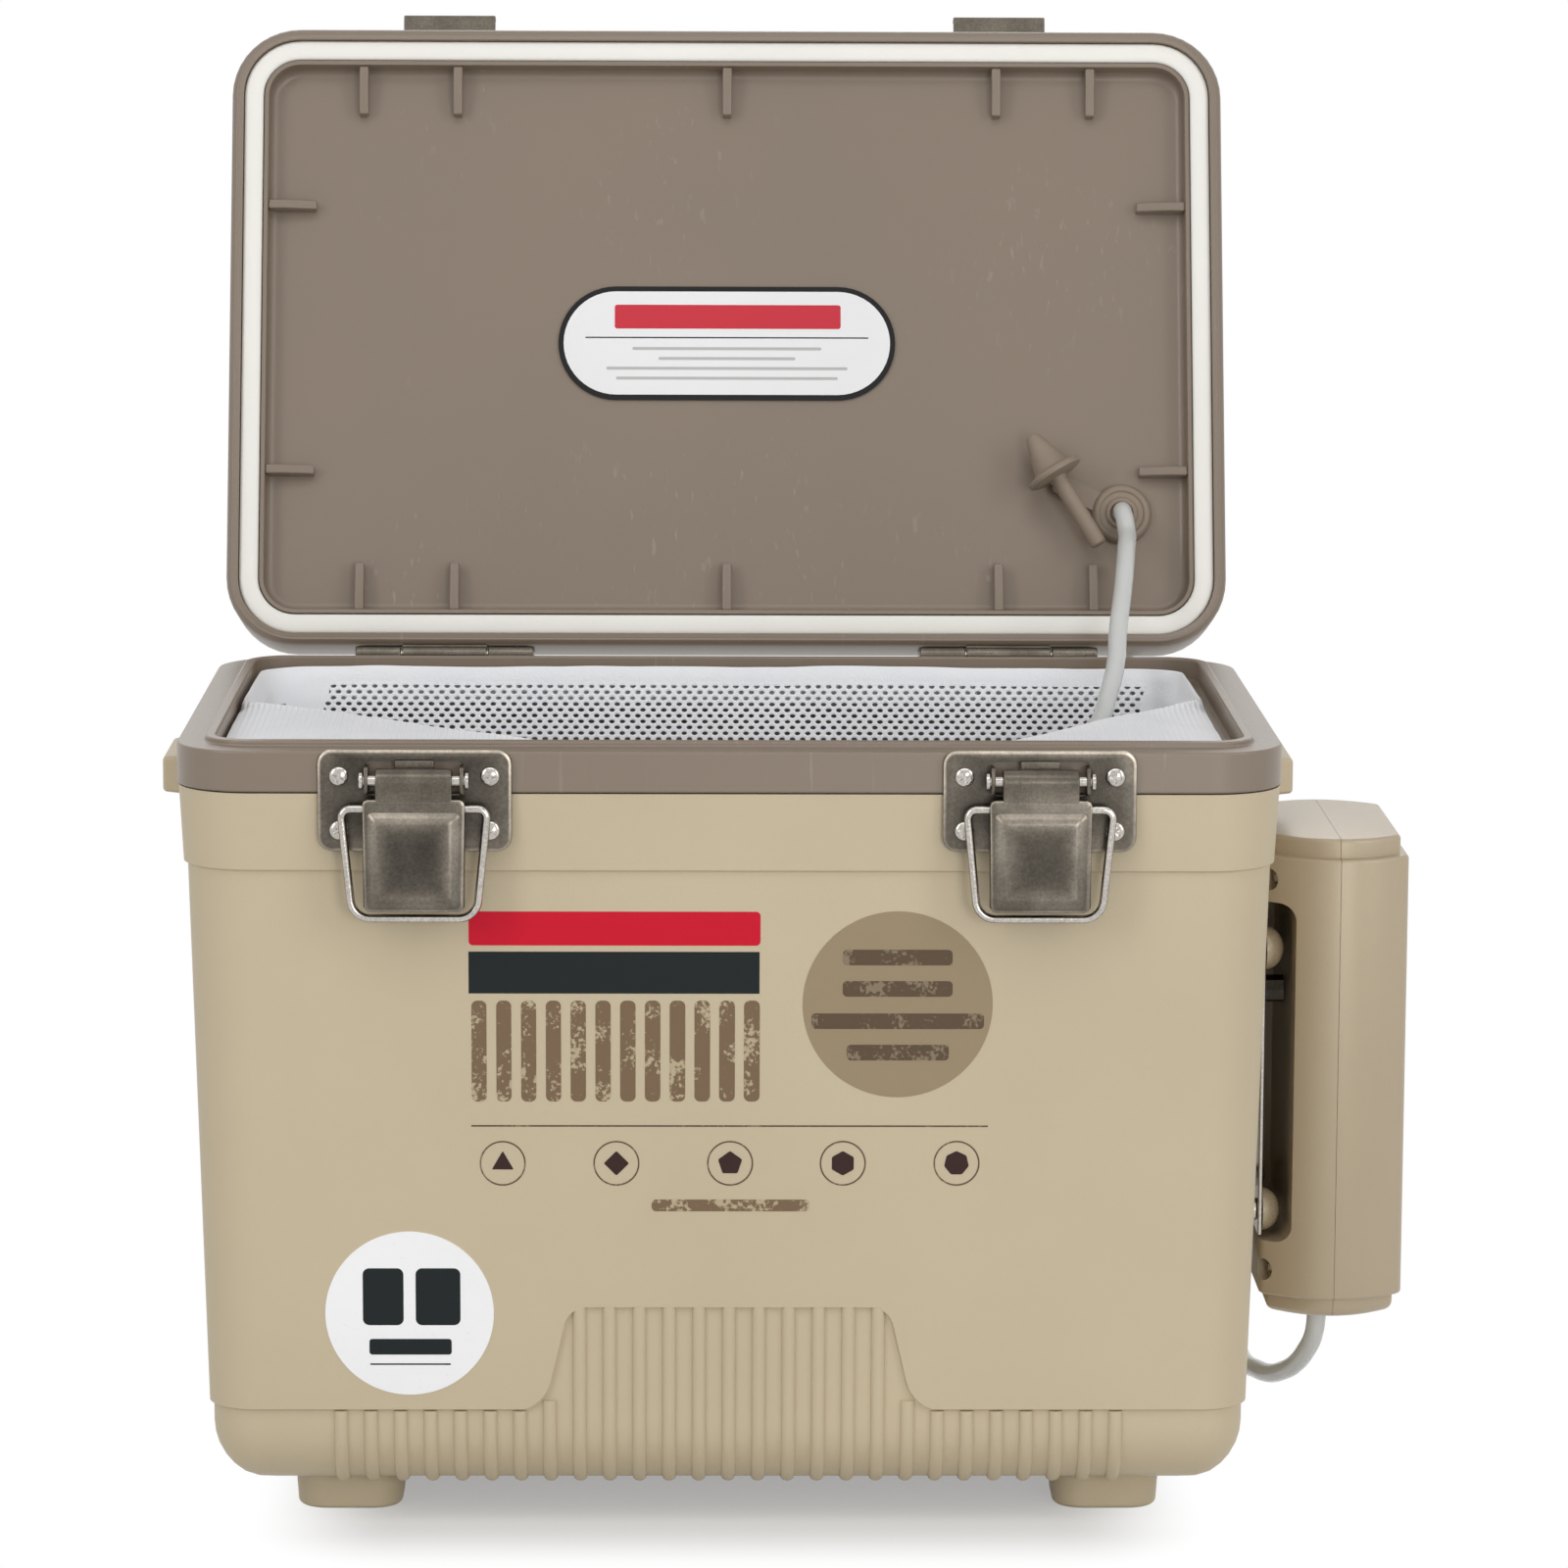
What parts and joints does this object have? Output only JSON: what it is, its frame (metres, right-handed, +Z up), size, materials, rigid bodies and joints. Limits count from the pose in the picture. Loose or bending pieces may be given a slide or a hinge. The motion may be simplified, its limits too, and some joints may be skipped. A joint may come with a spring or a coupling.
{
  "type": "live bait well",
  "caption": "Small insulated live-bait box with open hinged lid, lift-out net liner, draw latches, and a clip-on air pump whose clear hose runs through the lid.",
  "frame": {"origin": "on the floor under the middle of the box with its open lid and pump, without the hose", "axes": "+X to the pump's side, +Y from the latches to the hinges, +Z up"},
  "size_m": [0.3566, 0.2872, 0.4126],
  "materials": {
    "tan_plastic": "satin moulded plastic",
    "taupe_plastic": "semi-gloss moulded plastic",
    "pump_plastic": "satin plastic with a faint pearl",
    "latch_steel": "polished stainless sheet",
    "bright_steel": "bright wire, pins and screws",
    "spring_steel": "plain rolled steel",
    "gasket_rubber": "white soft rubber",
    "grommet_rubber": "taupe soft rubber",
    "buffer_rubber": "tan soft rubber",
    "label_sheet": "matt printed sheet with a black border",
    "net_fabric": "white net with a ribbed webbing hem",
    "foam": "rigid insulating foam",
    "black_plastic": "matt",
    "cell_skin": "wrapped steel can",
    "clear_hose": "clear flexible hose",
    "air_stone": "rough sintered stone"
  },
  "bodies": {
    "box": {"outer_shell": "tan_plastic", "liner_and_rim": "taupe_plastic", "wall_foam": "foam", "foot_front_left": "tan_plastic", "foot_front_right": "tan_plastic", "foot_rear_left": "tan_plastic", "foot_rear_right": "tan_plastic", "strap_lug_left": "tan_plastic", "strap_lug_right": "tan_plastic", "net_liner": "net_fabric", "net_hoop": "spring_steel", "hinge_lower_leaf_left": "latch_steel", "hinge_lower_leaf_right": "latch_steel", "hinge_pin_left": "bright_steel", "hinge_pin_right": "bright_steel", "latch_plate_left": "latch_steel", "latch_plate_right": "latch_steel", "lever_pin_left": "bright_steel", "lever_pin_right": "bright_steel", "latch_screw_left_outer_upper": "bright_steel", "latch_screw_left_outer_lower": "bright_steel", "latch_screw_left_inner_upper": "bright_steel", "latch_screw_left_inner_lower": "bright_steel", "latch_screw_right_outer_upper": "bright_steel", "latch_screw_right_outer_lower": "bright_steel", "latch_screw_right_inner_upper": "bright_steel", "latch_screw_right_inner_lower": "bright_steel", "pump_hanger": "spring_steel", "pump_buffer_lower_front": "buffer_rubber", "pump_buffer_lower_rear": "buffer_rubber", "pump_buffer_upper_front": "buffer_rubber", "pump_buffer_upper_rear": "buffer_rubber", "pump_case_inner": "pump_plastic", "pump_case_outer": "pump_plastic", "pump_clip": "spring_steel", "pump_motor": "black_plastic", "cell_lower": "cell_skin", "cell_upper": "cell_skin", "pump_outlet": "pump_plastic", "air_hose_outer": "clear_hose", "air_hose_inner": "clear_hose", "air_stone": "air_stone"},
    "lid": {"lid_shell": "taupe_plastic", "lid_panel": "taupe_plastic", "lid_foam": "foam", "lid_gasket": "gasket_rubber", "lid_label": "label_sheet", "hose_grommet": "grommet_rubber", "hinge_upper_leaf_left": "latch_steel", "hinge_upper_leaf_right": "latch_steel", "strike_left": "latch_steel", "strike_right": "latch_steel"},
    "lever_left": {"latch_lever_left": "latch_steel"},
    "lever_right": {"latch_lever_right": "latch_steel"},
    "bail_left": {"latch_bail_left": "bright_steel"},
    "bail_right": {"latch_bail_right": "bright_steel"},
    "switch": {"pump_switch": "black_plastic"}
  },
  "joints": [
    {"name": "lid_hinge", "type": "hinge", "parent": "box", "child": "lid", "pos_m": [-0.0166, 0.06311, 0.222], "axis": [-1, 0, 0], "range_deg": [-107.2, 0], "deforming": ["air_hose_outer", "air_hose_inner"]},
    {"name": "lever_left_hinge", "type": "hinge", "parent": "box", "child": "lever_left", "pos_m": [-0.1027, -0.13849, 0.2141], "axis": [-1, 0, 0], "range_deg": [0, 110]},
    {"name": "lever_right_hinge", "type": "hinge", "parent": "box", "child": "lever_right", "pos_m": [0.0679, -0.13849, 0.2141], "axis": [-1, 0, 0], "range_deg": [0, 110]},
    {"name": "bail_left_hinge", "type": "hinge", "parent": "lever_left", "child": "bail_left", "pos_m": [-0.1027, -0.13789, 0.2063], "axis": [1, 0, 0], "range_deg": [-181, 0]},
    {"name": "bail_right_hinge", "type": "hinge", "parent": "lever_right", "child": "bail_right", "pos_m": [0.0679, -0.13789, 0.2063], "axis": [1, 0, 0], "range_deg": [-181, 0]},
    {"name": "switch_rocker", "type": "hinge", "parent": "box", "child": "switch", "pos_m": [0.1767, -0.04899, 0.1505], "axis": [0, 1, 0], "range_deg": [-8, 8]}
  ]
}
